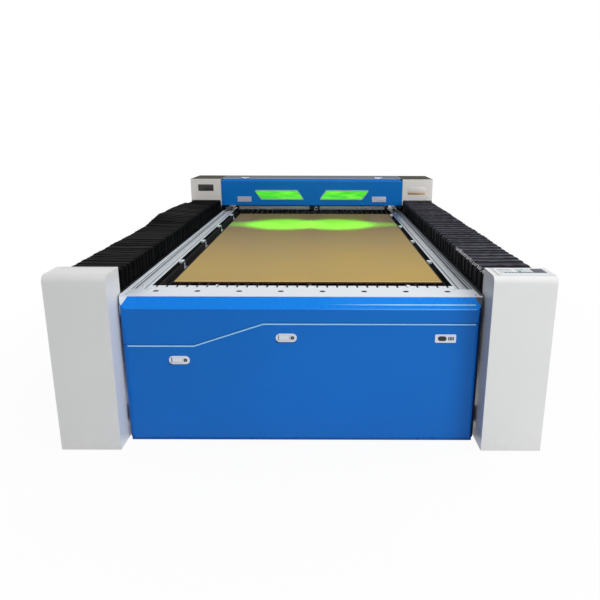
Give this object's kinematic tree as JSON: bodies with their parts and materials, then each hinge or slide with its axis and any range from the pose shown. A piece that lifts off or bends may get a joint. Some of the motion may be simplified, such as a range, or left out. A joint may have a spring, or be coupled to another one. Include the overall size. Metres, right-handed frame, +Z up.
{
  "type": "flatbed laser cutting machine",
  "caption": "Flatbed laser cutter: slatted bed with a board, corner towers, pleated guide covers and a moving gantry with hinged lid, lit windows and cutting head.",
  "frame": {"origin": "on the floor under the centre of the footprint, between the undersides of the feet", "axes": "+Z up, +X to the operator's right, +Y from the front door towards the rear of the machine"},
  "size_m": [2.3, 4.15, 1.056],
  "materials": {
    "frame_paint": "satin grey enamel",
    "blue_paint": "glossy blue enamel with a fine orange peel",
    "white_paint": "smooth white enamel",
    "rim_paint": "bluish white enamel, lightly worn",
    "dark_paint": "satin black enamel",
    "plain_steel": "bare steel, ground and oiled",
    "sheet_zinc": "galvanised sheet",
    "slat_steel": "blackened steel strip",
    "aluminium": "anodised aluminium",
    "latch_metal": "satin chromed zinc",
    "board_wood": "smooth fibreboard with a slight gloss",
    "foot_rubber": "moulded black rubber on a steel stud",
    "belt_rubber": "black toothed belt",
    "bellows_cloth": "coated black fabric, pleated",
    "bezel_plastic": "light grey moulding",
    "screen": "pale teal display window",
    "keypad": "dark embossed membrane",
    "tube_glass": "clear borosilicate tube",
    "window_rim": "pale moulded rim",
    "window_pane": "translucent green sheet, lit from inside",
    "motor_black": "black painted casting"
  },
  "bodies": {
    "frame": {"base_frame": "frame_paint", "levelling_feet": "foot_rubber", "front_panel": "blue_paint", "side_panels": "white_paint", "rear_panel": "white_paint", "front_flange": "rim_paint", "rear_flange": "rim_paint", "side_rail_left": "rim_paint", "side_rail_right": "aluminium", "bed_slats": "slat_steel", "slat_crossbeams": "rim_paint", "bed_board": "board_wood", "scrap_trays": "sheet_zinc", "exhaust_duct": "sheet_zinc", "tower_front_left": "white_paint", "tower_front_right": "white_paint", "rear_towers": "white_paint", "panel_bezel": "bezel_plastic", "lcd_screen": "screen", "keypad": "keypad", "guide_rails": "plain_steel", "y_belts": "belt_rubber", "y_motor": "motor_black", "shaft_bearings": "motor_black", "door_hinges": "plain_steel", "bellows_front_left": "bellows_cloth", "bellows_front_right": "bellows_cloth", "bellows_rear_left": "bellows_cloth", "bellows_rear_right": "bellows_cloth"},
    "gantry": {"beam_tube": "frame_paint", "carriages": "plain_steel", "rail_blocks": "plain_steel", "end_cap_left": "white_paint", "end_cap_right": "white_paint", "beam_top_cover": "blue_paint", "beam_rear_cover": "dark_paint", "beam_pan": "frame_paint", "lid_hinges": "latch_metal", "laser_tube": "tube_glass", "tube_clamps": "aluminium", "x_rail_bracket": "frame_paint", "x_rail": "aluminium", "x_belt": "belt_rubber", "x_motor": "motor_black"},
    "lid": {"beam_lid": "blue_paint", "window_frames": "window_rim", "window_panes": "window_pane", "lid_latch_plates": "latch_metal"},
    "door": {"front_door": "blue_paint", "door_latch_plates": "latch_metal"},
    "head": {"cutting_head": "dark_paint"},
    "lid_paddle_l": {"lid_paddle_left": "latch_metal"},
    "lid_paddle_r": {"lid_paddle_right": "latch_metal"},
    "door_paddle_l": {"door_paddle_left": "latch_metal"},
    "door_paddle_m": {"door_paddle_middle": "latch_metal"},
    "push_button": {"door_push_button": "foot_rubber"},
    "drive_shaft": {"y_drive_shaft": "plain_steel"},
    "front_pulleys": {"y_idlers": "plain_steel"},
    "cross_drive_pulley": {"x_drive_pulley": "aluminium"},
    "cross_idler_pulley": {"x_idler_pulley": "aluminium"}
  },
  "joints": [
    {"name": "gantry_slide", "type": "slide", "parent": "frame", "child": "gantry", "axis": [0, 1, 0], "range_m": [-2.6, 0], "deforming": ["bellows_front_left", "bellows_rear_left", "bellows_front_right", "bellows_rear_right"]},
    {"name": "head_slide", "type": "slide", "parent": "gantry", "child": "head", "axis": [1, 0, 0], "range_m": [-0.68, 0.62]},
    {"name": "lid_hinge", "type": "hinge", "parent": "gantry", "child": "lid", "pos_m": [0, 1.193, 1.05], "axis": [-1, 0, 0], "range_deg": [0, 100]},
    {"name": "door_hinge", "type": "hinge", "parent": "frame", "child": "door", "pos_m": [0, -1.969, 0.009], "axis": [1, 0, 0], "range_deg": [0, 90]},
    {"name": "lid_paddle_left_turn", "type": "hinge", "parent": "lid", "child": "lid_paddle_l", "pos_m": [-0.643, 1.156, 0.862], "axis": [-1, 0, 0], "range_deg": [0, 38]},
    {"name": "lid_paddle_right_turn", "type": "hinge", "parent": "lid", "child": "lid_paddle_r", "pos_m": [0.643, 1.156, 0.862], "axis": [-1, 0, 0], "range_deg": [0, 38]},
    {"name": "door_paddle_left_turn", "type": "hinge", "parent": "door", "child": "door_paddle_l", "pos_m": [-0.616, -1.966, 0.426], "axis": [0, 0, -1], "range_deg": [0, 35]},
    {"name": "door_paddle_middle_turn", "type": "hinge", "parent": "door", "child": "door_paddle_m", "pos_m": [-0.103, -1.966, 0.54], "axis": [0, 0, -1], "range_deg": [0, 35]},
    {"name": "door_button_press", "type": "slide", "parent": "door", "child": "push_button", "axis": [0, 1, 0], "range_m": [0, 0.003], "stiffness_N_per_m": 600},
    {"name": "drive_shaft_turn", "type": "hinge", "parent": "frame", "child": "drive_shaft", "pos_m": [0, 1.865, 0.7], "axis": [1, 0, 0], "range_deg": [-5, 4764]},
    {"name": "front_pulleys_turn", "type": "hinge", "parent": "frame", "child": "front_pulleys", "pos_m": [0, -1.965, 0.7], "axis": [1, 0, 0], "range_deg": [-5, 4764]},
    {"name": "cross_drive_pulley_turn", "type": "hinge", "parent": "gantry", "child": "cross_drive_pulley", "pos_m": [0.735, 1.272, 0.78], "axis": [0, 0, 1], "range_deg": [-2991, 2727]},
    {"name": "cross_idler_pulley_turn", "type": "hinge", "parent": "gantry", "child": "cross_idler_pulley", "pos_m": [-0.735, 1.272, 0.78], "axis": [0, 0, 1], "range_deg": [-2991, 2727]}
  ],
  "couplings": [
    {"joint": "drive_shaft_turn", "follows": "gantry_slide", "rad_per_m": -31.949},
    {"joint": "front_pulleys_turn", "follows": "gantry_slide", "rad_per_m": -31.949},
    {"joint": "cross_drive_pulley_turn", "follows": "head_slide", "rad_per_m": 76.628},
    {"joint": "cross_idler_pulley_turn", "follows": "head_slide", "rad_per_m": 76.628}
  ]
}
